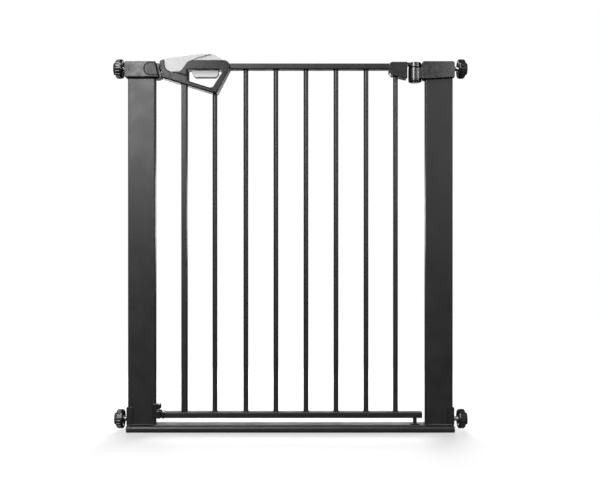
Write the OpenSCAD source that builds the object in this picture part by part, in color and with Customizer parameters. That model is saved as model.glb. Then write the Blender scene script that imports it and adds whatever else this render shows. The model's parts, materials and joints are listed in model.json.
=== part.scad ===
// Pressure-fit safety gate: a U-shaped frame that four wall screws hold in a doorway,
// and a barred door that lifts on its hinge side and swings both ways.
// X runs along the doorway, Y through it (the front is -Y), Z is up.
// The origin is on the floor, under the middle of the gate.

/* [Frame] */
// Height of the frame, from the floor to the top of the caps
gate_h = 760; // [700:1:900]
// Width over the outer faces of the two posts
post_span = 668; // [640:1:700]
// Width of a post, seen from the front
post_w = 56; // [54:1:58]
// Depth of a post and of the door's rails
post_d = 20; // [19:0.5:21]
// Wall thickness of the steel tubes
tube_wall = 1.2; // [1:0.1:1.5]
// Height of the floor bar's rear tube, which carries the posts
base_h = 14; // [13.5:0.5:15]
// Height of the floor bar's narrow front tube
base_front_h = 12.6; // [12:0.2:13]
// Depth of the floor bar over both tubes
base_d = 43; // [43:0.5:46]
// Depth of its front tube
base_front_d = 8.9; // [8.5:0.1:9]
// Gap between the two tubes
base_groove = 1.2; // [1:0.1:1.4]

/* [Door] */
// Distance from the gate's middle to the hinge axis
hinge_x = 257; // [256.5:0.1:257.5]
// Distance from the gate's middle to the latch stile
stile_x = 218.7; // [218.3:0.1:219]
// Spacing of the five inner bars
bar_pitch = 62.05; // [61.9:0.05:62.2]
// Diameter of the round bars
bar_dia = 10; // [9:0.5:10.5]
// Height of a rail
rail_h = 12; // [11:0.5:12]
// Underside of the bottom rail
bottom_rail_z = 27.5; // [27.5:0.5:28]
// Underside of the top rail
top_rail_z = 745; // [744.5:0.5:745.5]
// How far the door lifts off the lower catch
lift = 10; // [8:0.5:10]

/* [Handle] */
// Depth of the closed handle
handle_d = 30; // [30:0.5:32]
// Wall thickness of its shells
shell_wall = 2.7; // [2.5:0.1:3]
// Travel of the latch bolt
bolt_travel = 9; // [8:0.5:9]
// Travel of the trigger under the grip
trigger_travel = 6; // [5:0.5:6]

/* [Wall screws] */
// Diameter of a tension wheel
wheel_dia = 39.7; // [38:0.1:39.8]
// Distance from the gate's middle to the outer face of a wall pad, screwed in
pad_x = 364; // [362:0.5:366]
// Diameter of the threaded rods
rod_dia = 10; // [8:0.5:10]
// Height of the upper pair
upper_screw_z = 747; // [746:0.5:747]
// Height of the lower pair
lower_screw_z = 25; // [24:0.5:26]
// Grip ribs round a wheel
wheel_ribs = 20; // [16:1:22]

/* [Hidden] */
BARS = [for (i = [1:7]) str("bar_", i)];
CORNERS = ["upper_left", "upper_right", "lower_left", "lower_right"];
$fn = 48;

post_x = (post_span - post_w) / 2;
post_in = post_span / 2 - post_w;
post_out = post_span / 2;
run = 0.05;
gap = 0.3;
steel_dark = [0.17, 0.17, 0.18];
plastic_dark = [0.20, 0.20, 0.21];
plastic_grey = [0.80, 0.80, 0.80];
zinc = [0.72, 0.73, 0.75];
rubber_black = [0.08, 0.08, 0.08];

// ---- Outlines ----

function unit(v) = v / norm(v);
function turn(a) = a > 180 ? a - 360 : a < -180 ? a + 360 : a;

// The arc that rounds the corner b between a and c
function corner(a, b, c, r, n = 6) =
    let (
        u = unit(a - b),
        v = unit(c - b),
        half = acos(u * v) / 2,
        middle = b + unit(u + v) * r / sin(half),
        from = b + u * r / tan(half) - middle,
        to = b + v * r / tan(half) - middle,
        start = atan2(from.y, from.x),
        sweep = turn(atan2(to.y, to.x) - start)
    )
    [for (i = [0:n]) middle + r * [cos(start + sweep * i / n), sin(start + sweep * i / n)]];

// An outline from corners [x, y, radius]
function rounded(p) =
    let (n = len(p), at = [for (q = p) [q.x, q.y]])
    [for (i = [0:n - 1]) each corner(at[(i + n - 1) % n], at[i], at[(i + 1) % n], p[i].z)];

// A rounded rectangle from its low corner to its high corner
function slab(x0, y0, x1, y1, r) =
    rounded([[x0, y0, r], [x1, y0, r], [x1, y1, r], [x0, y1, r]]);

// An X-Z outline, solid from y0 to y1
module from_front(y0, y1) {
    translate([0, y1, 0]) rotate([90, 0, 0]) linear_extrude(y1 - y0) children();
}

// A Y-Z outline, solid from x0 to x1
module from_side(x0, x1) {
    translate([x0, 0, 0]) rotate([90, 0, 90]) linear_extrude(x1 - x0) children();
}

// An X-Y outline, solid from z0 to z1
module from_top(z0, z1) {
    translate([0, 0, z0]) linear_extrude(z1 - z0) children();
}

// A rod along X, along Y or along Z
module rod_x(x0, x1, y, z, r) {
    translate([x0, y, z]) rotate([0, 90, 0]) cylinder(r = r, h = x1 - x0);
}

module rod_y(x, y0, y1, z, r) {
    translate([x, y1, z]) rotate([90, 0, 0]) cylinder(r = r, h = y1 - y0);
}

module rod_z(x, y, z0, z1, r) {
    translate([x, y, z0]) cylinder(r = r, h = z1 - z0);
}

module box(x0, x1, y0, y1, z0, z1) {
    translate([x0, y0, z0]) cube([x1 - x0, y1 - y0, z1 - z0]);
}

// A coil spring that stands on the origin, with its axis along Z
module coil(r, wire, length, turns) {
    steps = 10;
    sides = 6;
    rings = turns * steps;
    points = [
        for (i = [0:rings], k = [0:sides - 1])
            let (a = 360 * i / steps, b = 360 * k / sides, reach = r + wire * cos(b))
            [reach * cos(a), reach * sin(a), wire + (length - 2 * wire) * i / rings + wire * sin(b)]
    ];
    walls = [
        for (i = [0:rings - 1], k = [0:sides - 1])
            let (a = i * sides + k, b = i * sides + (k + 1) % sides)
            each [[a, b, b + sides], [a, b + sides, a + sides]]
    ];
    ends = [[for (k = [sides - 1:-1:0]) k], [for (k = [0:sides - 1]) rings * sides + k]];
    polyhedron(points, concat(walls, ends), convexity = 8);
}

// ---- Frame ----

// A post stands on the floor bar, with holes for its two threaded inserts and its cap's screws
post_top = gate_h - 6;
insert_r = 7;
fitting_boss_r = 8.5;

module post(side) {
    color(steel_dark) difference() {
        translate([side * post_x, 0, 0]) from_top(base_h, post_top) difference() {
            polygon(slab(-post_w / 2, -post_d / 2, post_w / 2, post_d / 2, 2.5));
            polygon(slab(
                -post_w / 2 + tube_wall, -post_d / 2 + tube_wall,
                post_w / 2 - tube_wall, post_d / 2 - tube_wall, 1.3
            ));
        }
        for (z = [upper_screw_z, lower_screw_z])
            rod_x(side > 0 ? post_out - 5 : -post_out - 5, side > 0 ? post_out + 5 : -post_out + 5,
                0, z, fitting_boss_r + run);
        for (x = cap_screw_at)
            rod_y(side * post_x + x, post_d / 2 - 2, post_d / 2 + 1, cap_screw_z, cap_screw_r + gap);
    }
}

module left_post() {
    post(-1);
}

module right_post() {
    post(1);
}

// The sections of the two floor tubes, flat below: a low nosing in front, and the tube under the posts
split = -base_d / 2 + base_front_d;

function front_section(inset) =
    rounded([
        [-base_d / 2 + inset, inset, 2.4 - inset], [split - inset, inset, 2.4 - inset],
        [split - inset, base_front_h - inset, 2 - inset],
        [-base_d / 2 + inset, base_front_h - inset, 5.4 - inset]
    ]);

function rear_section(inset) =
    rounded([
        [split + base_groove + inset, inset, 2.4 - inset], [base_d / 2 - inset, inset, 3.4 - inset],
        [base_d / 2 - inset, base_h - inset, 4 - inset],
        [split + base_groove + inset, base_h - inset, 2.4 - inset]
    ]);

bush_r = 8;

module base_front_tube() {
    color(steel_dark) from_side(-post_out, post_out) difference() {
        polygon(front_section(0));
        polygon(front_section(tube_wall));
    }
}

module base_rear_tube() {
    color(steel_dark) difference() {
        from_side(-post_out, post_out) difference() {
            polygon(rear_section(0));
            polygon(rear_section(tube_wall));
        }
        rod_z(hinge_x, 0, tube_wall, base_h + 1, bush_r + run);
    }
}

// Four plastic plugs close the ends of the floor tubes
module base_end_plugs() {
    fit = tube_wall + 0.1;
    color(plastic_dark) for (end = [-1, 1]) scale([end, 1, 1]) {
        from_side(post_out, post_out + 2) polygon(front_section(0.2));
        from_side(post_out - 9, post_out) polygon(front_section(fit));
        from_side(post_out, post_out + 2) polygon(rear_section(0.2));
        from_side(post_out - 9, post_out) polygon(rear_section(fit));
    }
}

// The pocket that a cap or a fitting leaves for its post
module post_pocket(side, z0, z1) {
    fit = 0.1;
    box(side * post_x - post_w / 2 - fit, side * post_x + post_w / 2 + fit,
        -post_d / 2 - fit, post_d / 2 + fit, z0, z1);
}

// ---- Caps ----

cap_d = 32;
cap_overhang = 6;
cap_low = gate_h - 35;
screw_head_r = 3.6;
cap_screw_r = 1.75;
cap_screw_at = [-14, 14];
cap_screw_z = gate_h - 20;
catch_y = 6.2;

// The bevel that runs in from a cap's lower edge to the post, front and back
module cap_bevels(x0, x1, rise) {
    reach = cap_d / 2 - post_d / 2 - 0.6;
    for (side = [-1, 1]) scale([1, side, 1]) from_side(x0, x1)
        polygon([[cap_d / 2 - reach, -1], [cap_d / 2 + 1, -1], [cap_d / 2 + 1, rise + 1],
            [cap_d / 2, rise], [cap_d / 2 - reach, 0]]);
}

module cap_screw_holes(side) {
    for (x = cap_screw_at) {
        rod_y(side * post_x + x, post_d / 2 - 3, cap_d / 2 + 1, cap_screw_z, cap_screw_r + 0.1);
        rod_y(side * post_x + x, cap_d / 2 - 2.4, cap_d / 2 + 1, cap_screw_z, screw_head_r + gap);
    }
}

// The end that meets the handle slants down towards the door
latch_face_top = 276.5;
latch_face_low = 269;
cap_skirt = 4;

// The D-shaped plate on the front of the latch cap
function insert_outline(grow) =
    let (middle = 287, z = gate_h - 15.3, r = 12.7 + grow)
    concat(
        [for (i = [0:16]) let (a = 90 + 180 * i / 16) [-middle + r * cos(a), z + r * sin(a)]],
        [[-latch_face_low - 2.6 + grow, z - r], [-latch_face_top - 0.6 + grow, z + r]]
    );

// Behind the slanted end, a narrower block reaches to the handle and takes the bolt in its slot
module latch_cap() {
    out = post_out + cap_overhang;
    color(plastic_dark) difference() {
        union() {
            from_front(-cap_d / 2, cap_d / 2) polygon(rounded([
                [-out, cap_low + cap_skirt, 1], [-out, gate_h, 3], [-latch_face_top, gate_h, 2.5],
                [-latch_face_low, cap_low, 1.2], [-post_out, cap_low, 0.5]
            ]));
            from_front(-post_d / 2, post_d / 2) polygon([
                [-post_in - 0.1, cap_low + 2], [-263.9, cap_low + 2], [-265.2, 738],
                [-268.4, 741], [-269.5, gate_h - 3], [-post_in - 0.1, gate_h - 3]
            ]);
        }
        post_pocket(-1, cap_low - 9, post_top + 0.2);
        translate([0, 0, cap_low]) cap_bevels(-out - 1, -latch_face_low + 1, cap_skirt);
        from_front(-cap_d / 2 - 1, -cap_d / 2 + 2.2) polygon(insert_outline(0.8));
        box(-post_in + 0.9, -latch_face_low + 7, -catch_y, catch_y, gate_h - 18.5, gate_h + 1);
        rod_x(-out - 1, -post_out + 1, 0, upper_screw_z, insert_r + run);
        cap_screw_holes(-1);
    }
}

module latch_cap_insert() {
    color(plastic_dark) from_front(-cap_d / 2 - 0.4, -cap_d / 2 + 2.2) polygon(insert_outline(0));
}

// The barrel on the hinge cap is the lower knuckle of the upper hinge
knuckle_r = 13.5;
barrel_low = 719;
barrel_top = 748.5;
sleeve_r = 9;
pin_r = 4;
key_w = 3;

module hinge_cap() {
    out = post_out + 3;
    edge = cap_low - 2.5;
    slope = 3;
    color(plastic_dark) difference() {
        union() {
            from_front(-cap_d / 2, cap_d / 2) polygon(rounded([
                [post_in - 7, edge, 2.5], [post_in - 7, gate_h, 3], [out, gate_h, 5],
                [out, edge + 3.5, 4]
            ]));
            box(hinge_x, post_in - 5, -knuckle_r + 1.5, knuckle_r - 1.5, barrel_low + 7, barrel_top);
            translate([hinge_x, 0, 0]) rotate_extrude() polygon([
                [0, barrel_low], [knuckle_r - 2.8, barrel_low], [knuckle_r - 0.8, barrel_low + 1],
                [knuckle_r, barrel_low + 2.6], [knuckle_r, barrel_low + 4.4],
                [knuckle_r - 0.8, barrel_low + 5], [knuckle_r, barrel_low + 5.6],
                [knuckle_r, barrel_top - 0.9], [knuckle_r - 0.9, barrel_top], [0, barrel_top]
            ]);
        }
        post_pocket(1, cap_low - 9, post_top + 0.2);
        translate([post_in - 7, 0, edge]) rotate([0, -slope, 0]) cap_bevels(-2, out - post_in + 9, 2);
        rod_z(hinge_x, 0, barrel_low + 3.5, barrel_top + 20, sleeve_r + run);
        box(hinge_x - key_w / 2 - gap, hinge_x + key_w / 2 + gap, 0, sleeve_r + 2.4,
            barrel_low + 3.5, barrel_top + 1);
        rod_x(post_out - 1, out + 1, 0, upper_screw_z, insert_r + run);
        cap_screw_holes(1);
    }
}

// Four screws hold the caps to the posts, from the back
module cap_screws() {
    color(zinc) for (side = [-1, 1], x = cap_screw_at) translate([side * post_x + x, 0, cap_screw_z]) {
        rod_y(0, post_d / 2 - 2.6, cap_d / 2 - 2.4, 0, cap_screw_r);
        difference() {
            rod_y(0, cap_d / 2 - 2.4, cap_d / 2 - 0.2, 0, screw_head_r);
            for (a = [0, 90]) translate([0, cap_d / 2 - 0.6, 0]) rotate([0, a, 0])
                cube([4, 1.4, 0.9], center = true);
        }
    }
}

// ---- Lower fittings, threaded inserts ----

fitting_h = 37;
fitting_out = post_out + 3;

module lower_fitting(side) {
    wrap = post_d / 2 + 1.6;
    color(plastic_dark) scale([side, 1, 1]) difference() {
        union() {
            from_top(base_h, base_h + fitting_h)
                polygon(slab(post_out - 11, -wrap, fitting_out, wrap, 1.5));
            rod_x(post_out - 8, fitting_out - 1, 0, lower_screw_z, fitting_boss_r);
        }
        difference() {
            box(post_in, post_out + 0.05, -post_d / 2 - 0.05, post_d / 2 + 0.05, base_h - 1, 80);
            rod_x(post_out - 8, fitting_out - 1, 0, lower_screw_z, fitting_boss_r);
        }
        rod_x(post_out - 9, fitting_out + 1, 0, lower_screw_z, insert_r + run);
        translate([fitting_out, 0, base_h + fitting_h]) rotate([0, 45, 0])
            cube([5, 2 * wrap + 2, 3.4], center = true);
    }
}

module lower_left_fitting() {
    lower_fitting(-1);
}

module lower_right_fitting() {
    lower_fitting(1);
}

// Four threaded inserts, drawn with plain bores
module spindle_nuts() {
    color(zinc) for (side = [-1, 1]) scale([side, 1, 1]) {
        difference() {
            rod_x(post_out - 8, post_out + 2.6, 0, lower_screw_z, insert_r);
            rod_x(post_out - 9, post_out + 4, 0, lower_screw_z, rod_dia / 2 + run);
        }
        difference() {
            rod_x(post_out - 8, post_out + 2.8, 0, upper_screw_z, insert_r);
            rod_x(post_out - 9, post_out + 4, 0, upper_screw_z, rod_dia / 2 + run);
        }
    }
}

// ---- Lower catch and lower hinge ----

catch_low = 27;
catch_top = 57;
catch_wall_top = 42.2;
tongue_low = 32.5;
tongue_h = 3;

// A channel on the post's inner edge: its low walls hold the door's tongue until it is lifted
module lower_catch() {
    side = post_d / 2 + 0.1;
    outer = side + 1.8;
    roof = tongue_low + tongue_h + lift + gap;
    color(plastic_dark) difference() {
        union() {
            box(-post_in - 5, -post_in + 2.4, -outer, outer, catch_low, catch_top);
            box(-post_in + 2, -post_in + 11, -outer, outer, catch_low, catch_wall_top);
            box(-post_in + 2, -post_in + 9.8, -outer + 1, outer - 1, roof, catch_top);
        }
        box(-post_in - 6, -post_in, -side, side, catch_low - 1, catch_top + 1);
        box(-post_in + 2.4, -post_in + 12, -6, 6, tongue_low - 0.6, catch_wall_top + 1);
        translate([-post_in + 9.8, 0, catch_top]) rotate([0, 45, 0])
            cube([3, 2 * outer + 2, 3], center = true);
    }
}

module lower_hinge_bush() {
    color(plastic_dark) difference() {
        union() {
            rod_z(hinge_x, 0, tube_wall, base_h, bush_r);
            rod_z(hinge_x, 0, base_h, base_h + 1.6, bush_r + 1.5);
        }
        rod_z(hinge_x, 0, tube_wall + 0.6, base_h + 2, pin_r + run);
    }
}

// ---- Upper hinge: the sleeve lifts in the barrel, and the pin turns in the sleeve ----

sleeve_low = barrel_low + 6;
sleeve_top = barrel_top - 1;

module hinge_sleeve() {
    color([0.85, 0.85, 0.82]) difference() {
        union() {
            rod_z(hinge_x, 0, sleeve_low, sleeve_top, sleeve_r);
            box(hinge_x - key_w / 2, hinge_x + key_w / 2, 0, sleeve_r + 2, sleeve_low, sleeve_top - 8);
        }
        rod_z(hinge_x, 0, sleeve_low - 1, sleeve_top + 1, pin_r + run);
        rod_z(hinge_x, 0, sleeve_low + 5, sleeve_top + 1, 7.6);
    }
}

module hinge_spring() {
    color(zinc) translate([hinge_x, 0, sleeve_low + 5.4])
        coil(5.9, 0.7, sleeve_top - sleeve_low - 6, 8);
}

bracket_right = 240.3;
bracket_d = 25;
bracket_top = 759.4;
rail_end_x = 228;

module hinge_bracket() {
    rail_top = top_rail_z + rail_h;
    knuckle_low = barrel_top + 0.7;
    color(plastic_dark) difference() {
        union() {
            from_front(-bracket_d / 2, bracket_d / 2) polygon(rounded([
                [203.5, 734, 9], [203.5, bracket_top, 6], [bracket_right, bracket_top, 1],
                [bracket_right, 724.8, 2]
            ]));
            box(bracket_right - 2, hinge_x, -8, 8, bracket_top - 6, bracket_top - 0.4);
            translate([hinge_x, 0, 0]) rotate_extrude() polygon([
                [0, knuckle_low], [knuckle_r - 1.1, knuckle_low], [knuckle_r - 0.2, knuckle_low + 0.9],
                [knuckle_r - 0.2, bracket_top - 0.8], [knuckle_r - 1, bracket_top], [0, bracket_top]
            ]);
        }
        box(202, rail_end_x + 0.1, -post_d / 2 - 0.1, post_d / 2 + 0.1,
            top_rail_z - 0.1, rail_top + 0.1);
        rod_z(bar_x(7), 0, 700, top_rail_z, bar_dia / 2 + 0.1);
        rod_z(hinge_x, 0, knuckle_low - 1, bracket_top - 2.5, pin_r);
    }
}

module hinge_pin() {
    color(zinc) rod_z(hinge_x, 0, sleeve_low - 1, bracket_top - 2.5, pin_r);
}

// ---- Door ----

// The outer two bars stand a little nearer to and farther from their neighbours than the inner five
function bar_x(i) = i == 1 ? -156 : i == 7 ? 217 : 32.1 + (i - 4) * bar_pitch;

rail_left = -258.5;
rail_right = 268.5;
handle_x = -262;
handle_z = 744;

module rail(x0, x1, z) {
    color(steel_dark) from_side(x0, x1) difference() {
        polygon(slab(-post_d / 2, z, post_d / 2, z + rail_h, 2));
        polygon(slab(-post_d / 2 + tube_wall, z + tube_wall,
            post_d / 2 - tube_wall, z + rail_h - tube_wall, 1));
    }
}

module top_rail() {
    rail(handle_x + 122, rail_end_x, top_rail_z);
}

module bottom_rail() {
    difference() {
        rail(rail_left, rail_right, bottom_rail_z);
        rod_z(hinge_x, 0, bottom_rail_z - 1, bottom_rail_z + 2, pin_r + run);
    }
}

module latch_stile() {
    half = 5.75;
    color(steel_dark) from_top(bottom_rail_z + rail_h, handle_z - 11) difference() {
        polygon(slab(-stile_x - half, -post_d / 2, -stile_x + half, post_d / 2, 1.8));
        polygon(slab(-stile_x - half + tube_wall, -post_d / 2 + tube_wall,
            -stile_x + half - tube_wall, post_d / 2 - tube_wall, 0.8));
    }
}

bar_1_drop = 41;

// The first bar ends inside the handle's lower tip, the others meet the top rail
module bar(i) {
    low = bottom_rail_z + rail_h;
    top = i == 1 ? handle_z - bar_1_drop : top_rail_z;
    color(steel_dark) difference() {
        rod_z(bar_x(i), 0, low, top, bar_dia / 2);
        rod_z(bar_x(i), 0, low - 1, top + 1, bar_dia / 2 - 1);
    }
}

// The plug in the latch end of the bottom rail narrows to the tongue that the catch holds
module bottom_rail_nose() {
    z0 = bottom_rail_z;
    z1 = bottom_rail_z + rail_h;
    fit = tube_wall + 0.1;
    color(plastic_dark) {
        from_front(-post_d / 2, post_d / 2) polygon(rounded([
            [rail_left, z0, 0.4], [rail_left, z1, 0.4], [rail_left - 4, z1 + 1, 1.2],
            [rail_left - 7.5, z1, 1], [rail_left - 7.5, z0 + 1, 1], [rail_left - 4, z0 - 1, 1.2]
        ]));
        box(rail_left - 15.5, rail_left - 7, -5, 5, tongue_low, tongue_low + tongue_h);
        from_side(rail_left, rail_left + 18)
            polygon(slab(-post_d / 2 + fit, z0 + fit, post_d / 2 - fit, z1 - fit, 0.9));
    }
}

module bottom_rail_end_cap() {
    z0 = bottom_rail_z;
    z1 = bottom_rail_z + rail_h;
    fit = tube_wall + 0.1;
    color(plastic_dark) difference() {
        union() {
            from_side(rail_right, rail_right + 2.5)
                polygon(slab(-post_d / 2, z0, post_d / 2, z1, 2));
            from_side(rail_right - 24, rail_right)
                polygon(slab(-post_d / 2 + fit, z0 + fit, post_d / 2 - fit, z1 - fit, 0.9));
        }
        rod_z(hinge_x, 0, z0, z1 - 3, pin_r);
    }
}

module lower_hinge_pin() {
    color(zinc) rod_z(hinge_x, 0, tube_wall + 1, bottom_rail_z + rail_h - 3, pin_r);
}

// ---- Handle: its outlines are in its own frame, from the latch face and the grip's underside ----

module in_handle() {
    translate([handle_x, 0, handle_z]) children();
}

handle_outline = [
    [-6, 17.4, 1.5], [3, 20.5, 1], [5.5, -5, 16], [37, -5, 13], [53.5, 18.5, 15],
    [139.5, 18.5, 13], [138, 3, 3], [110.6, -51.1, 5], [-0.4, -17.4, 3], [-3.8, 7.4, 0.8],
    [-6, 8.4, 0.8]
];
finger_hole = [
    [51.8, 0, 3], [118, 0, 6], [122.5, -6, 5], [102.5, -37.5, 4], [95.5, -37.5, 4], [51.8, -24, 5]
];
arm_slope = 16.9;
bolt_low = 0;
bolt_top = 8;
bolt_y = 5.5;
slot_y = 2.8;
arm_low = 3;
inside_y = handle_d / 2 - shell_wall;
handle_screw_at = [[13, -12.5], [125.7, -10], [112.4, -33.5]];

// What both shells leave free: the bowl, the arm and the grip
module handle_cavity() {
    from_front(-inside_y, inside_y) polygon([
        [-1.6, 24], [-2.6, 15.5], [5.4, -14.6], [49.2, -27.2], [49.2, shell_wall],
        [120, shell_wall], [120, 15.8], [72, 15.8], [72, 24]
    ]);
}

// Where the stile, the first bar and the top rail enter
module handle_sockets() {
    fit = 0.1;
    box(-stile_x - 5.75 - fit - handle_x, -stile_x + 5.75 + fit - handle_x,
        -post_d / 2 - fit, post_d / 2 + fit, -60, -11 + fit);
    rod_z(bar_x(1) - handle_x, 0, -60, -bar_1_drop + fit, bar_dia / 2 + fit);
    box(121.9, 150, -post_d / 2 - fit, post_d / 2 + fit,
        top_rail_z - handle_z - fit, top_rail_z - handle_z + rail_h + fit);
}

// The bevels along the arm's lower edge and down the finger hole's left side
module handle_bevels(side) {
    translate([6.6, side * handle_d / 2, -19.5]) rotate([0, arm_slope, 0]) rotate([45, 0, 0])
        cube([240, 4.6, 4.6], center = true);
    translate([finger_hole[0].x, side * handle_d / 2, -12]) rotate([0, 0, 45])
        cube([4.2, 4.2, 23], center = true);
}

module handle_shell(side) {
    difference() {
        from_front(side < 0 ? -handle_d / 2 : 0, side < 0 ? 0 : handle_d / 2) difference() {
            polygon(rounded(handle_outline));
            polygon(rounded(finger_hole));
        }
        handle_bevels(side);
        difference() {
            handle_cavity();
            rod_y(handle_screw_at[0].x, -handle_d / 2, handle_d / 2, handle_screw_at[0].y, 3.2);
        }
        handle_sockets();
        box(-10, 6, -bolt_y - 0.4, bolt_y + 0.4, bolt_low - 0.4, bolt_top + 0.4);
        box(59.6, 114.4, -9.4, 9.4, -1, shell_wall + 1);
    }
}

// The arm's face lies a little behind the faces of the grip and of the bar at its right
module handle_front_shell() {
    color(plastic_dark) in_handle() difference() {
        handle_shell(-1);
        from_front(-handle_d / 2 - 1, -handle_d / 2 + 1.5) polygon([
            [-8, 22], [3.5, 22], [18, -4.2], [44, -11.2], [50, -14], [52, -24.4], [95.5, -37.9],
            [103, -38.5], [107, -55], [0, -30], [-8, -10]
        ]);
        for (p = handle_screw_at)
            rod_y(p.x, -9, 1, p.y, 1.5);
    }
}

// A post on the rear shell stands in the bolt's window and takes both springs
module handle_rear_shell() {
    color(plastic_dark) in_handle() difference() {
        union() {
            handle_shell(1);
            box(40, 48, -6, inside_y + 0.2, -10.9, -8.4);
            box(40, 48, -6, 6, -8.5, -0.6);
            box(40, 43.5, -2.2, 2.2, -0.7, 18);
        }
        for (p = handle_screw_at) {
            rod_y(p.x, -1, handle_d / 2 + 1, p.y, 1.7);
            rod_y(p.x, handle_d / 2 - 2.2, handle_d / 2 + 1, p.y, 3.3);
        }
    }
}

module handle_screws() {
    color(zinc) in_handle() for (p = handle_screw_at) difference() {
        union() {
            rod_y(p.x, -8, handle_d / 2 - 2.2, p.y, 1.5);
            rod_y(p.x, handle_d / 2 - 2.2, handle_d / 2 - 0.3, p.y, 3);
        }
        for (a = [0, 90]) translate([p.x, handle_d / 2 - 0.6, p.y])
            rotate([0, a, 0]) cube([3.6, 1.2, 0.8], center = true);
    }
}

// ---- Latch: squeezing the trigger draws the bolt back through a slanted slot ----

spring_left = 21;
fork_left = 56.5;
bolt_right = 76;
bolt_left = -14;
latch_pin_at = [72, 5.6];

module latch_bolt() {
    color(plastic_dark) in_handle() difference() {
        union() {
            from_top(bolt_low, bolt_top) polygon([
                [bolt_left, -3], [bolt_left + 3.5, -bolt_y], [39, -bolt_y],
                [39, bolt_y], [bolt_left + 3.5, bolt_y], [bolt_left, 3]
            ]);
            box(38, bolt_right, -bolt_y, bolt_y, arm_low, bolt_top);
        }
        box(spring_left, 51, -slot_y, slot_y, bolt_low - 1, bolt_top + 1);
        box(fork_left, bolt_right + 1, -slot_y, slot_y, bolt_low - 1, bolt_top + 1);
        rod_y(latch_pin_at.x, -bolt_y - 1, bolt_y + 1, latch_pin_at.y, 1.5);
    }
}

module latch_pin() {
    color(zinc) in_handle() rod_y(latch_pin_at.x, -bolt_y, bolt_y, latch_pin_at.y, 1.5);
}

module bolt_spring() {
    color(zinc) in_handle() translate([spring_left + 0.3, 0, 4]) rotate([0, 90, 0])
        coil(2, 0.4, 18.4, 7);
}

// The grey cover over the bowl slides back with the thumb
slider_outline = [
    [2.2, 22.4, 1.5], [79, 31.4, 14], [104, 31.8, 9], [121, 21.5, 2], [121, 19, 0.4],
    [62.5, 19, 0.4], [62.5, 14.6, 1.5], [57, 14.6, 2], [50, 3.3, 1], [42.7, 3.3, 0.4],
    [42.7, -7.5, 8], [2.2, -7.5, 14]
];
slider_y = inside_y - gap;
ramp_y = 9.5;

// Its sides are set back along the ramp at its right
module release_slider() {
    wall = 2.4;
    color(plastic_grey) in_handle() difference() {
        from_front(-slider_y, slider_y) polygon(rounded(slider_outline));
        for (side = [-1, 1]) scale([1, side, 1]) from_front(ramp_y, slider_y + 1)
            polygon([[60, 19.4], [72, 24.5], [86, 28.5], [102, 32.5], [125, 33], [125, 18], [60, 18]]);
        from_front(-slider_y + wall, slider_y - wall) polygon([
            [2.2 + wall, -9], [2.2 + wall, 20.2], [57, 26.2], [57, -9]
        ]);
        from_front(-ramp_y + wall, ramp_y - wall) polygon([
            [56, -9], [56, 26.1], [79, 28.7], [103.5, 29], [116.5, 21.6], [116.5, 18], [61, 18], [61, -9]
        ]);
        box(0, 6, -7, 7, -9, bolt_top + 1);
    }
}

module slider_spring() {
    color(zinc) in_handle() translate([5, 0, 13.6]) rotate([0, 90, 0])
        coil(2.6, 0.4, 34.8, 8);
}

trigger_left = 60;
trigger_right = 114;
trigger_low = -15;
trigger_y = 9;
web_y = 2.3;

module trigger() {
    wall = 1.8;
    slot_end = [latch_pin_at.x + bolt_travel, latch_pin_at.y - trigger_travel];
    color(plastic_grey) in_handle() difference() {
        union() {
            difference() {
                from_front(-trigger_y, trigger_y) polygon(rounded([
                    [trigger_left, -9.5, 2], [trigger_left, 8, 0.5], [trigger_right, 8, 0.5],
                    [trigger_right, -9.5, 2], [trigger_right - 5.5, trigger_low, 2.5],
                    [trigger_left + 5.5, trigger_low, 2.5]
                ]));
                box(trigger_left + wall, trigger_right - wall, -trigger_y + wall, trigger_y - wall,
                    -10, 9);
            }
            for (x = [trigger_left - 1.6, trigger_right - 0.1])
                box(x, x + 1.7, -trigger_y, trigger_y, shell_wall + 0.3, 6);
            box(67, 86, -web_y, web_y, -12, 8);
        }
        box(trigger_left - 3, trigger_left + 3, -bolt_y - 0.5, bolt_y + 0.5, arm_low - 6.4, 9);
        hull() {
            rod_y(latch_pin_at.x, -3, 3, latch_pin_at.y, 1.8);
            rod_y(slot_end.x, -3, 3, slot_end.y, 1.8);
        }
    }
}

module trigger_spring() {
    color(zinc) in_handle() translate([100, 0, -9.9]) coil(3.2, 0.5, 25.6, 6);
}

// ---- Wall screws: turning the wheel winds the threaded rod out, and the pad doesn't turn ----

wheel_in = pad_x - 18.5;
wheel_out = pad_x - 3.6;
pad_r = 12;
hub_r = 8;
rod_in = post_in + 3.7;
rod_out = pad_x - 2;
// How much further than pad_x each screw is wound in
wound_in = [0, 0, 2, 0];

module at_corner(i) {
    side = i % 2 == 0 ? -1 : 1;
    height = i < 2 ? upper_screw_z : lower_screw_z;
    translate([0, 0, height]) scale([side, 1, 1]) translate([-wound_in[i], 0, 0]) children();
}

// A wheel with a plain rim on the post's side, grip ribs, and a rounded outer end
module tension_wheel(i) {
    r = wheel_dia / 2;
    color(rubber_black) at_corner(i) difference() {
        rotate([0, 90, 0]) rotate_extrude() polygon([
            [rod_dia / 2, wheel_in + 0.6], [hub_r, wheel_in + 0.6], [hub_r, wheel_in + 3.4],
            [11, wheel_in + 3.4], [r - 3.4, wheel_in], [r - 2, wheel_in], [r - 0.5, wheel_in + 1.2],
            [r, wheel_in + 2.8], [r, wheel_out - 3.9], [r - 0.8, wheel_out - 2.2],
            [r - 2.4, wheel_out - 0.8], [r - 5, wheel_out], [9.5, wheel_out], [9.5, wheel_out - 3.4],
            [rod_dia / 2, wheel_out - 3.4]
        ]);
        for (k = [0:wheel_ribs - 1]) rotate([360 * k / wheel_ribs, 0, 0])
            rod_x(wheel_in + 4.6, wheel_out + 1, 0, r + 0.3, 2);
    }
}

module spindle(i) {
    color(zinc) at_corner(i) rod_x(rod_in, rod_out, 0, 0, rod_dia / 2);
}

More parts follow.
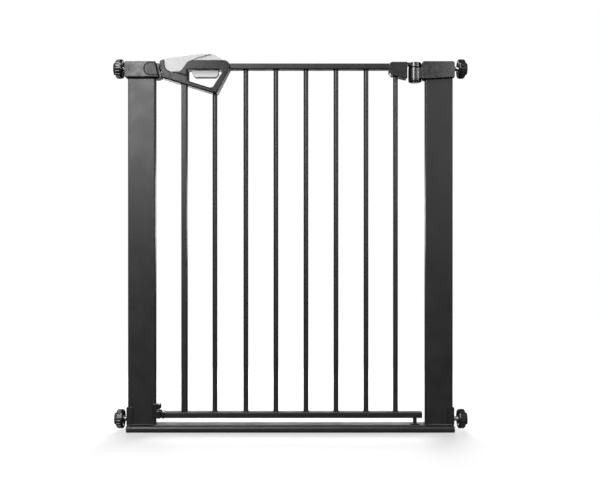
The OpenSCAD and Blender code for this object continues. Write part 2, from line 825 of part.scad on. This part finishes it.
module wall_pad(i) {
    color(rubber_black) at_corner(i) difference() {
        union() {
            rod_x(wheel_out + gap, pad_x, 0, 0, pad_r);
            rod_x(wheel_out - 3, wheel_out + 1, 0, 0, 9);
        }
        rod_x(wheel_out - 4, rod_out + 0.4, 0, 0, rod_dia / 2 + run);
    }
}

left_post();
right_post();
base_front_tube();
base_rear_tube();
base_end_plugs();
latch_cap();
latch_cap_insert();
hinge_cap();
cap_screws();
lower_left_fitting();
lower_right_fitting();
spindle_nuts();
lower_catch();
lower_hinge_bush();
hinge_sleeve();
hinge_spring();
top_rail();
bottom_rail();
latch_stile();
for (i = [1:7]) bar(i);
bottom_rail_nose();
bottom_rail_end_cap();
lower_hinge_pin();
hinge_bracket();
hinge_pin();
handle_front_shell();
handle_rear_shell();
handle_screws();
latch_bolt();
latch_pin();
bolt_spring();
release_slider();
slider_spring();
trigger();
trigger_spring();
for (i = [0:3]) tension_wheel(i);
for (i = [0:3]) spindle(i);
for (i = [0:3]) wall_pad(i);
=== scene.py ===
import json
import math
import random

import bpy
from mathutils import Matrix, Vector


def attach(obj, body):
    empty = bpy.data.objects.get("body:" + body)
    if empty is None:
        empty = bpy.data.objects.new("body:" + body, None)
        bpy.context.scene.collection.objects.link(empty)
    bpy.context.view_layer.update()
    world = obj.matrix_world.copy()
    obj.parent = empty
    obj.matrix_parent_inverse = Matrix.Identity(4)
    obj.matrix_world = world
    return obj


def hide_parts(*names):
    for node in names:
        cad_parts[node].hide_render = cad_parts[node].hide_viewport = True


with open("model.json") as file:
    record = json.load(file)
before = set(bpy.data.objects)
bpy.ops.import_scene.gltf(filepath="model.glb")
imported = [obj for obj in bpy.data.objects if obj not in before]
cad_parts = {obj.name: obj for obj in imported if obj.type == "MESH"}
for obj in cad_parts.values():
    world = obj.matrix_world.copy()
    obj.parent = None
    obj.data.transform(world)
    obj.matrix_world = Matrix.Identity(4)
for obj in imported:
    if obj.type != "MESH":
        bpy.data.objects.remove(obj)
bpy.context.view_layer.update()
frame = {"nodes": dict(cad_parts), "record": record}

MM = 0.001
NODES = frame["nodes"]
CORNERS = ["upper_left", "upper_right", "lower_left", "lower_right"]


def map_range(tree, value, start, end, out_start, out_end):
    """value, from start..end to out_start..out_end, clamped."""
    made = tree.nodes.new("ShaderNodeMapRange")
    ends = {"From Min": start, "From Max": end, "To Min": out_start, "To Max": out_end}
    for name, number in ends.items():
        made.inputs[name].default_value = number
    tree.links.new(value, made.inputs["Value"])
    return made.outputs["Result"]


# ---- Materials ----------------------------------------------------------------------------------

EVEN = (1, 1, 1)
DRIFT_NOISE = (0.3, 0.7)       # the part of a noise over which roughness drifts
EDGE_SHADE_COSINES = (0.90, 0.99)    # rounded against flat normal: full painted edge shade, and none
# Painted shade: the near-black of the dark outlines painted on rounded edges.
EDGE_PAINTED_SHADE = (0.002, 0.002, 0.002)
BEVEL_SAMPLES = 4
RUB_LIGHTER = 1.6              # how much lighter rubbed plastic is


class Recipe:
    """A procedural material: one Principled shader with nodes that feed it. Lengths are in metres."""

    def __init__(self, name, colour, rough, metallic=0.0, specular=0.5):
        self.material = bpy.data.materials.new(name)
        self.material.use_nodes = True
        self.tree = self.material.node_tree
        self.shader = self.tree.nodes["Principled BSDF"]
        self.shader.inputs["Base Color"].default_value = (*colour, 1)
        self.shader.inputs["Roughness"].default_value = rough
        self.shader.inputs["Metallic"].default_value = metallic
        self.shader.inputs["Specular IOR Level"].default_value = specular
        self.colour = colour
        self.place = self.node("ShaderNodeTexCoord").outputs["Object"]
        self.bumped = None

    def node(self, kind, **inputs):
        """A new node; each input is a value, or a socket to link."""
        made = self.tree.nodes.new(kind)
        for name, value in inputs.items():
            if isinstance(value, bpy.types.NodeSocket):
                self.link(value, made.inputs[name])
            else:
                made.inputs[name].default_value = value
        return made

    def link(self, source, target):
        self.tree.links.new(source, target)

    def noise(self, size, detail, stretch=EVEN):
        """Noise whose features are about size metres, stretched along the axes."""
        scale = [1 / (size * s) for s in stretch]
        mapping = self.node("ShaderNodeMapping", Vector=self.place, Scale=scale)
        made = self.node("ShaderNodeTexNoise", Vector=mapping.outputs[0], Scale=1.0, Detail=detail)
        return made.outputs["Fac"]

    def tint(self, mask, colour):
        """Colours the places where mask is 1."""
        socket = self.shader.inputs["Base Color"]
        made = self.tree.nodes.new("ShaderNodeMix")
        made.data_type = "RGBA"
        if socket.is_linked:
            self.link(socket.links[0].from_socket, made.inputs["A"])
        else:
            made.inputs["A"].default_value = (*self.colour, 1)
        self.link(mask, made.inputs["Factor"])
        made.inputs["B"].default_value = (*colour, 1)
        self.link(made.outputs["Result"], socket)

    def patches(self, size, detail, start, full, amount, colour, stretch=EVEN):
        """Tints by up to amount, as the noise rises from start to full."""
        noise = self.noise(size, detail, stretch)
        self.tint(map_range(self.tree, noise, start, full, 0.0, amount), colour)

    def roughen(self, size, detail, low, high):
        """Lets the roughness drift between low and high."""
        drift = map_range(self.tree, self.noise(size, detail), *DRIFT_NOISE, low, high)
        self.link(drift, self.shader.inputs["Roughness"])

    def soften_and_paint_edge_shade(self, radius):
        """Rounds the shading of sharp edges over radius metres, and paints shade on the edges as dark
        outlines.
        """
        rounded = self.node("ShaderNodeBevel", Radius=radius)
        rounded.samples = BEVEL_SAMPLES
        self.bumped = rounded.outputs["Normal"]
        facing = self.node("ShaderNodeVectorMath")
        facing.operation = "DOT_PRODUCT"
        self.link(self.bumped, facing.inputs[0])
        self.link(self.node("ShaderNodeNewGeometry").outputs["Normal"], facing.inputs[1])
        # Painted shade: tints the rounded edges near-black, as dark outlines.
        self.tint(map_range(self.tree, facing.outputs["Value"], *EDGE_SHADE_COSINES, 1.0, 0.0), EDGE_PAINTED_SHADE)

    def grain(self, size, detail, depth, strength, stretch=EVEN):
        """Noise that stands up to depth metres proud."""
        made = self.node("ShaderNodeBump", Height=self.noise(size, detail, stretch),
                         Strength=strength, Distance=depth)
        if self.bumped:
            self.link(self.bumped, made.inputs["Normal"])
        self.bumped = made.outputs["Normal"]
        self.link(self.bumped, self.shader.inputs["Normal"])


def powder_coat():
    """Graphite powder coat: fine orange peel, tiny flecks, and a little dust in broad patches."""
    r = Recipe("powder_coat", (0.011, 0.011, 0.0115), 0.36)
    r.patches(size=0.05, detail=5, start=0.42, full=0.75, amount=0.35, colour=(0.017, 0.017, 0.0175))
    r.patches(size=0.0006, detail=2, start=0.68, full=0.74, amount=0.5, colour=(0.045, 0.045, 0.046))
    r.roughen(size=0.03, detail=6, low=0.32, high=0.42)
    r.grain(size=0.0016, detail=3, depth=0.00005, strength=0.5)
    r.grain(size=0.0005, detail=2, depth=0.00002, strength=0.4)
    return r.material


def black_plastic(name="black_plastic", colour=(0.010, 0.010, 0.0104), rough=0.34, grain=0.00004,
                  specular=0.5, edge=0.0024):
    """Moulded plastic with a spark-eroded grain and faint rub marks; edge is the soft edges' radius, over
    which painted shade darkens the edges.
    """
    r = Recipe(name, colour, rough, specular=specular)
    if edge:
        # Rounds the edges' shading and paints shade on them as dark outlines.
        r.soften_and_paint_edge_shade(edge)
    rubbed = tuple(RUB_LIGHTER * c for c in colour)
    r.patches(size=0.02, detail=6, start=0.5, full=0.8, amount=0.35, colour=rubbed, stretch=(1, 1, 0.3))
    r.roughen(size=0.012, detail=5, low=rough - 0.05, high=rough + 0.08)
    r.grain(size=0.0004, detail=3, depth=grain, strength=0.5)
    r.grain(size=0.004, detail=2, depth=grain, strength=0.3)
    return r.material


def grey_plastic():
    """Light grey satin plastic with a soft grain and handling marks."""
    r = Recipe("grey_plastic", (0.42, 0.42, 0.417), 0.34)
    r.patches(size=0.015, detail=5, start=0.45, full=0.75, amount=0.35, colour=(0.37, 0.37, 0.364))
    r.roughen(size=0.01, detail=6, low=0.30, high=0.42)
    r.grain(size=0.0005, detail=2, depth=0.00003, strength=0.5)
    return r.material


def white_nylon():
    """Off-white nylon, a little yellowed in patches."""
    r = Recipe("white_nylon", (0.75, 0.75, 0.71), 0.4)
    r.patches(size=0.006, detail=4, start=0.4, full=0.7, amount=0.4, colour=(0.64, 0.63, 0.58))
    r.grain(size=0.0004, detail=2, depth=0.00003, strength=0.4)
    return r.material


def zinc_steel():
    """Bright zinc plate: fine turning marks along the part and cloudy passivation."""
    r = Recipe("zinc_steel", (0.70, 0.71, 0.73), 0.24, metallic=1.0)
    r.patches(size=0.004, detail=5, start=0.42, full=0.7, amount=0.6, colour=(0.55, 0.56, 0.56))
    r.roughen(size=0.002, detail=5, low=0.18, high=0.36)
    r.grain(size=0.0003, detail=2, depth=0.00001, strength=0.5, stretch=(20, 1, 1))
    return r.material


def spring_steel():
    """Drawn spring wire with darker, oiled patches."""
    r = Recipe("spring_steel", (0.46, 0.46, 0.48), 0.3, metallic=1.0)
    r.patches(size=0.003, detail=4, start=0.45, full=0.7, amount=0.5, colour=(0.30, 0.29, 0.28))
    r.roughen(size=0.001, detail=3, low=0.25, high=0.4)
    return r.material


def pad_rubber():
    """Matt rubber with bloom and a moulded grain."""
    r = Recipe("pad_rubber", (0.022, 0.022, 0.022), 0.72)
    r.patches(size=0.008, detail=6, start=0.45, full=0.75, amount=0.4, colour=(0.045, 0.045, 0.043))
    r.roughen(size=0.006, detail=4, low=0.62, high=0.82)
    r.grain(size=0.0006, detail=3, depth=0.00008, strength=0.7)
    return r.material


MATERIALS = {
    "powder_coat": powder_coat(),
    "black_plastic": black_plastic(),
    "grey_plastic": grey_plastic(),
    "white_nylon": white_nylon(),
    "zinc_steel": zinc_steel(),
    "spring_steel": spring_steel(),
    "pad_rubber": pad_rubber(),
}
SLOT_OF = {part["node"]: part["material_slot"] for part in frame["record"]["subparts"]}

# Pieces whose plastic is glossier, smoother or lighter than their slot's.
GLOSSY = black_plastic("glossy_plastic", (0.007, 0.007, 0.0073), 0.19, grain=0.00001, specular=0.9,
                       edge=0.0016)
HANDLE = black_plastic("handle_plastic", (0.014, 0.014, 0.0144), 0.25, specular=0.25, edge=0.0034)
WHEEL = black_plastic("wheel_plastic", (0.006, 0.006, 0.0062), 0.20, grain=0.00002, specular=0.8, edge=0)
OWN_MATERIAL = {
    **dict.fromkeys(("hinge_cap", "hinge_bracket", "bottom_rail_nose", "lower_catch"), GLOSSY),
    **dict.fromkeys(("handle_front_shell", "handle_rear_shell", "latch_cap_insert"), HANDLE),
    **{"tension_wheel_" + corner: WHEEL for corner in CORNERS},
    "lower_hinge_pin": MATERIALS["powder_coat"],
}


# ---- Finish of the CAD nodes ---------------------------------------------------------------------

USUAL_EDGE_MM = 0.6
EDGE_MM = {
    "base_front_tube": 0.3, "left_post": 0.4, "right_post": 0.4, "latch_stile": 0.4,
    "handle_front_shell": 1.3, "handle_rear_shell": 1.3, "release_slider": 1.1, "trigger": 0.9,
    "latch_cap": 1.3, "hinge_cap": 1.2,
}
MERGE_MM = 0.01
SHARP_DEGREES = 35
EDGE_SEGMENTS = 3
FACE_WEIGHT = 100    # large faces alone set the normals, so they stay flat


def finish_cad(name):
    """Gives a CAD node its material and softens its sharp edges."""
    piece = NODES[name]
    piece.data.materials.clear()
    piece.data.materials.append(OWN_MATERIAL.get(name) or MATERIALS[SLOT_OF[name]])
    piece.data.shade_smooth()
    weld = piece.modifiers.new("weld", "WELD")
    weld.merge_threshold = MERGE_MM * MM
    bevel = piece.modifiers.new("bevel", "BEVEL")
    bevel.width = EDGE_MM.get(name, USUAL_EDGE_MM) * MM
    bevel.segments = EDGE_SEGMENTS
    bevel.limit_method = "ANGLE"
    bevel.angle_limit = math.radians(SHARP_DEGREES)
    bevel.use_clamp_overlap = True
    normals = piece.modifiers.new("normals", "WEIGHTED_NORMAL")
    normals.weight = FACE_WEIGHT


for node in NODES:
    finish_cad(node)


# ---- Pieces of the visual model ------------------------------------------------------------------

THREAD_PITCH = 1.5
THREAD_DEPTH = 0.75
THREAD_FLANK = 2.4       # rise of the flank, in thread depths a pitch
THREAD_ROOT = 0.1        # how far the flank starts below the root, which leaves the root flat
END_CHAMFER = 1.3
ROD_AROUND = 28
STEPS_A_TURN = 6

BEAD_AROUND = 8
BEAD_STEP = 0.6
RING_STEPS = 44
BEAD_JITTER = 0.05
BEAD_END = 0.55          # size of an open bead's ends against its middle
BAR_FOOT_BEAD = dict(radius=1.5, wave=0.10, pitch=2.0)
BAR_TOP_BEAD = dict(radius=1.1, wave=0.08, pitch=2.0)
POST_BEAD = dict(radius=2.2, wave=0.14, pitch=2.6)
POST_SIDE_BEAD = dict(radius=1.7, wave=0.14, pitch=2.6)
BAR_LIFT = 0.1           # from a rail's face to the middle of a bar's bead
BAR_RISE = 3             # how steeply a bar's bead faces away from the rail
POST_RISE = 0.8
FRONT_STANDOFF = 0.4     # from a post's face to the middle of its bead
BACK_STANDOFF = 0.2
POST_END_GAP = 1.0       # from a post's corner to the end of its bead
POST_SIDE_GAP = 0.5


def box_mm(name):
    """The low and high corners of a CAD node, in millimetres."""
    places = [vertex.co for vertex in NODES[name].data.vertices]
    low = Vector([min(p[axis] for p in places) for axis in range(3)]) / MM
    high = Vector([max(p[axis] for p in places) for axis in range(3)]) / MM
    return low, high


def new_piece(name, points, faces, slot, body):
    """A smooth mesh from points in millimetres, in its slot's material, riding a body."""
    mesh = bpy.data.meshes.new(name)
    mesh.from_pydata([(x * MM, y * MM, z * MM) for x, y, z in points], [], faces)
    mesh.update()
    mesh.shade_smooth()
    piece = bpy.data.objects.new(name, mesh)
    bpy.context.scene.collection.objects.link(piece)
    mesh.materials.append(MATERIALS[slot])
    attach(piece, body)
    return piece


def skin(rings, around, closed=False):
    """Faces over rings of points that follow each other, with flat ends or closed to a loop."""
    count = rings * around
    faces = [(i * around + j, i * around + (j + 1) % around,
              ((i + 1) * around + (j + 1) % around) % count, ((i + 1) * around + j) % count)
             for i in range(rings if closed else rings - 1) for j in range(around)]
    if not closed:
        faces += [tuple(range(around))[::-1], tuple(range(count - around, count))]
    return faces


def threaded_rod(corner):
    """The bright wall screw with a real thread, in place of its plain CAD rod."""
    low, high = box_mm("spindle_" + corner)
    middle = (low + high) / 2
    full = (high.z - low.z) / 2
    length = high.x - low.x
    side = -1 if corner.endswith("left") else 1
    step = THREAD_PITCH / STEPS_A_TURN
    rings = int(length / step) + 1
    points = []
    for i in range(rings):
        along = i * step
        at_end = i in (0, rings - 1)
        for j in range(ROD_AROUND):
            phase = (along / THREAD_PITCH - j / ROD_AROUND) % 1.0
            crest = max(0.0, min(1.0, THREAD_FLANK * abs(phase - 0.5) - THREAD_ROOT))
            radius = full - (END_CHAMFER if at_end else THREAD_DEPTH * (1 - crest))
            a = 2 * math.pi * j / ROD_AROUND
            points.append((middle.x + side * (along - length / 2),
                           middle.y + radius * math.cos(a), middle.z + radius * math.sin(a)))
    faces = skin(rings, ROD_AROUND)
    if side > 0:
        faces = [face[::-1] for face in faces]
    rod = new_piece("threaded_rod_" + corner, points, faces, "zinc_steel", "wheel_" + corner)
    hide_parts("spindle_" + corner)


def bead(name, path, out, body, seed, radius, wave, pitch, closed=False):
    """A rippled weld bead along path. out gives the corner's outward direction at a path point."""
    dice = random.Random(seed)
    count = len(path)
    points = []
    run = 0.0
    for i, here in enumerate(path):
        ahead = Vector(path[(i + 1) % count] if closed or i < count - 1 else here)
        behind = Vector(path[i - 1] if closed or i else here)
        along = (ahead - behind).normalized()
        run += (Vector(here) - behind).length
        up = Vector(out(here)).normalized()
        across = along.cross(up)
        end = BEAD_END if not closed and i in (0, count - 1) else 1.0
        ripple = wave * math.sin(2 * math.pi * run / pitch) + dice.uniform(-BEAD_JITTER, BEAD_JITTER)
        for j in range(BEAD_AROUND):
            a = 2 * math.pi * j / BEAD_AROUND
            side = math.cos(a) * up + math.sin(a) * across
            points.append(tuple(Vector(here) + radius * end * (1 + ripple) * side))
    new_piece(name, points, skin(count, BEAD_AROUND, closed), "powder_coat", body)


def line(start, end):
    start, end = Vector(start), Vector(end)
    count = int((end - start).length / BEAD_STEP)
    return [tuple(start.lerp(end, i / count)) for i in range(count + 1)]


def ring(x, z, radius):
    turns = [2 * math.pi * i / RING_STEPS for i in range(RING_STEPS)]
    return [(x + radius * math.cos(a), radius * math.sin(a), z) for a in turns]


def bar_welds():
    """A bead round each bar's foot and, but for the outer two bars, round its top."""
    rail_top = box_mm("bottom_rail")[1].z
    rail_low = box_mm("top_rail")[0].z
    bars = sorted(name for name in NODES if name.startswith("bar_"))
    for number, name in enumerate(bars, 1):
        low, high = box_mm(name)
        x = (low.x + high.x) / 2
        radius = (high.x - low.x) / 2
        bead(f"weld_{name}_foot", ring(x, rail_top + BAR_LIFT, radius + BAR_LIFT),
             lambda p: (p[0] - x, p[1], BAR_RISE), "door", number, closed=True, **BAR_FOOT_BEAD)
        if name not in (bars[0], bars[-1]):
            bead(f"weld_{name}_top", ring(x, rail_low - BAR_LIFT, radius),
                 lambda p: (p[0] - x, p[1], -BAR_RISE), "door", 20 + number, closed=True, **BAR_TOP_BEAD)


def post_welds():
    """Beads at the front, back and inner side of each post's foot."""
    z = box_mm("base_rear_tube")[1].z
    for number, post in enumerate(("left_post", "right_post")):
        low, high = box_mm(post)
        for face, y, outward in (("front", low.y - FRONT_STANDOFF, -1), ("back", high.y + BACK_STANDOFF, 1)):
            bead(f"weld_{post}_{face}", line((low.x + POST_END_GAP, y, z), (high.x - POST_END_GAP, y, z)),
                 lambda p: (0, outward, POST_RISE), "frame", 31 + 2 * number + outward, **POST_BEAD)
        x, inward = (high.x, 1) if post == "left_post" else (low.x, -1)
        bead(f"weld_{post}_inside", line((x, low.y + POST_SIDE_GAP, z), (x, high.y - POST_SIDE_GAP, z)),
             lambda p: (inward, 0, 1), "frame", 41 + number, **POST_SIDE_BEAD)


for corner in CORNERS:
    threaded_rod(corner)
bar_welds()
post_welds()


# ---- Stage --------------------------------------------------------------------------------------

WHITE = (1, 1, 1, 1)
FLOOR_SIZE = 5
FLOOR_DROP = 0.0005
FLOOR_FADE = (0.42, 1.0)          # metres from the gate's middle: the lit floor, and the plain white
FLOOR_LIT, FLOOR_GLOW = 0.46, 0.22
FLOOR_ROUGH = 0.9

# Brightness of the reflected sky along the axes: position from low to high, and grey.
SKY_HEIGHT = [(0.0, 0.12), (0.45, 0.18), (0.50, 0.42), (0.60, 0.75), (0.76, 0.9), (0.88, 0.35), (1.0, 0.10)]
SKY_DEPTH = [(0.0, 1.0), (0.35, 0.75), (0.55, 0.45), (1.0, 0.40)]
SKY_WIDTH = [(0.0, 0.8), (0.3, 1.0), (0.55, 0.55), (1.0, 0.6)]

EYE = (0.0198, -1.760, 0.3732)
LENS_MM = 51.1
SENSOR_MM = 36


def white_floor():
    """A floor that takes shadows near the gate and is as white as the sky further out."""
    bpy.ops.mesh.primitive_plane_add(size=FLOOR_SIZE, location=(0, 0, -FLOOR_DROP))
    floor = bpy.context.object
    floor.name = "studio_floor"
    white = bpy.data.materials.new("studio_white")
    white.use_nodes = True
    tree = white.node_tree
    shader = tree.nodes["Principled BSDF"]
    shader.inputs["Roughness"].default_value = FLOOR_ROUGH
    shader.inputs["Emission Color"].default_value = WHITE
    distance = tree.nodes.new("ShaderNodeVectorMath")
    distance.operation = "LENGTH"
    tree.links.new(tree.nodes.new("ShaderNodeTexCoord").outputs["Object"], distance.inputs[0])
    for name, near, far in (("Base Color", FLOOR_LIT, 0.0), ("Emission Strength", FLOOR_GLOW, 1.0)):
        faded = map_range(tree, distance.outputs["Value"], *FLOOR_FADE, near, far)
        tree.links.new(faded, shader.inputs[name])
    floor.data.materials.append(white)
    floor.visible_glossy = False
    floor.visible_diffuse = False
    return floor


def sky():
    """White where the camera sees it; a soft gradient for everything that it lights."""
    world = bpy.data.worlds.new("studio_sky")
    bpy.context.scene.world = world
    world.use_nodes = True
    tree = world.node_tree
    tree.nodes.clear()
    axes = tree.nodes.new("ShaderNodeSeparateXYZ")
    tree.links.new(tree.nodes.new("ShaderNodeTexCoord").outputs["Generated"], axes.inputs[0])

    def gradient(axis, stops):
        made = tree.nodes.new("ShaderNodeValToRGB")
        made.color_ramp.interpolation = "EASE"
        while len(made.color_ramp.elements) < len(stops):
            made.color_ramp.elements.new(0.5)
        for element, (position, grey) in zip(made.color_ramp.elements, stops):
            element.position = position
            element.color = (grey, grey, grey, 1)
        tree.links.new(map_range(tree, axes.outputs[axis], -1, 1, 0, 1), made.inputs[0])
        return made.outputs[0]

    def times(a, b):
        made = tree.nodes.new("ShaderNodeMath")
        made.operation = "MULTIPLY"
        tree.links.new(a, made.inputs[0])
        tree.links.new(b, made.inputs[1])
        return made.outputs[0]

    glow = times(times(gradient("Z", SKY_HEIGHT), gradient("Y", SKY_DEPTH)), gradient("X", SKY_WIDTH))
    lit = tree.nodes.new("ShaderNodeBackground")
    tree.links.new(glow, lit.inputs["Strength"])
    seen = tree.nodes.new("ShaderNodeBackground")
    seen.inputs["Color"].default_value = WHITE
    mix = tree.nodes.new("ShaderNodeMixShader")
    tree.links.new(tree.nodes.new("ShaderNodeLightPath").outputs["Is Camera Ray"], mix.inputs[0])
    tree.links.new(lit.outputs[0], mix.inputs[1])
    tree.links.new(seen.outputs[0], mix.inputs[2])
    tree.links.new(mix.outputs[0], tree.nodes.new("ShaderNodeOutputWorld").inputs[0])


def softbox(name, at, aim, size, watts, glossy=True, only=None):
    """A rectangular light that the camera doesn't see. only is a collection that it alone lights."""
    light = bpy.data.lights.new(name, "AREA")
    light.shape = "RECTANGLE"
    light.size, light.size_y = size
    light.energy = watts
    holder = bpy.data.objects.new(name, light)
    bpy.context.scene.collection.objects.link(holder)
    holder.location = at
    holder.rotation_euler = (Vector(aim) - Vector(at)).to_track_quat("-Z", "Y").to_euler()
    holder.visible_camera = False
    holder.visible_glossy = glossy
    if only:
        holder.light_linking.receiver_collection = only


def lights(floor):
    """Soft lights high in front, which the flat posts mirror as gradients, and light from behind."""
    floor_only = bpy.data.collections.new("floor_only")
    floor_only.objects.link(floor)
    softbox("key_left", at=(-1.3, -2.2, 1.9), aim=(-0.2, 0, 0.6), size=(1.0, 1.0), watts=34)
    softbox("cap_light", at=(-0.74, -2.1, 1.22), aim=(-0.3, 0, 0.7), size=(0.42, 0.7), watts=14)
    softbox("fill_right", at=(2.0, -1.5, 1.2), aim=(0.25, 0, 0.6), size=(0.22, 1.4), watts=18)
    softbox("front_strip", at=(0.88, -2.1, 1.0), aim=(0.3, 0, 0.7), size=(0.22, 0.9), watts=2.6)
    softbox("top_front", at=(-0.4, -1.25, 2.5), aim=(-0.1, 0, 0), size=(1.6, 0.5), watts=38)
    softbox("back_light", at=(-0.2, 2.1, 2.4), aim=(0, 0.2, 0), size=(2.4, 1.6), watts=64,
            glossy=False, only=floor_only)
    softbox("floor_graze", at=(0, 1.7, 0.42), aim=(0, 0, 0), size=(3.2, 0.3), watts=96,
            glossy=False, only=floor_only)
    softbox("rear_fill", at=(0.5, 2.7, 1.7), aim=(0, 0, 0.5), size=(1.2, 1.2), watts=45, glossy=False)
    softbox("back_low", at=(0, 2.5, 0.56), aim=(0, 0, 0), size=(3.2, 0.36), watts=10)


def camera():
    """A level camera a little right of the middle, on a lens that frames 600 x 500."""
    lens = bpy.data.cameras.new("camera")
    lens.sensor_width = SENSOR_MM
    lens.lens = LENS_MM
    holder = bpy.data.objects.new("camera", lens)
    bpy.context.scene.collection.objects.link(holder)
    holder.location = EYE
    holder.rotation_euler = (math.radians(90), 0, 0)
    bpy.context.scene.camera = holder


lights(white_floor())
sky()
camera()
bpy.context.scene.view_settings.view_transform = "Standard"
bpy.context.scene.view_settings.look = "None"
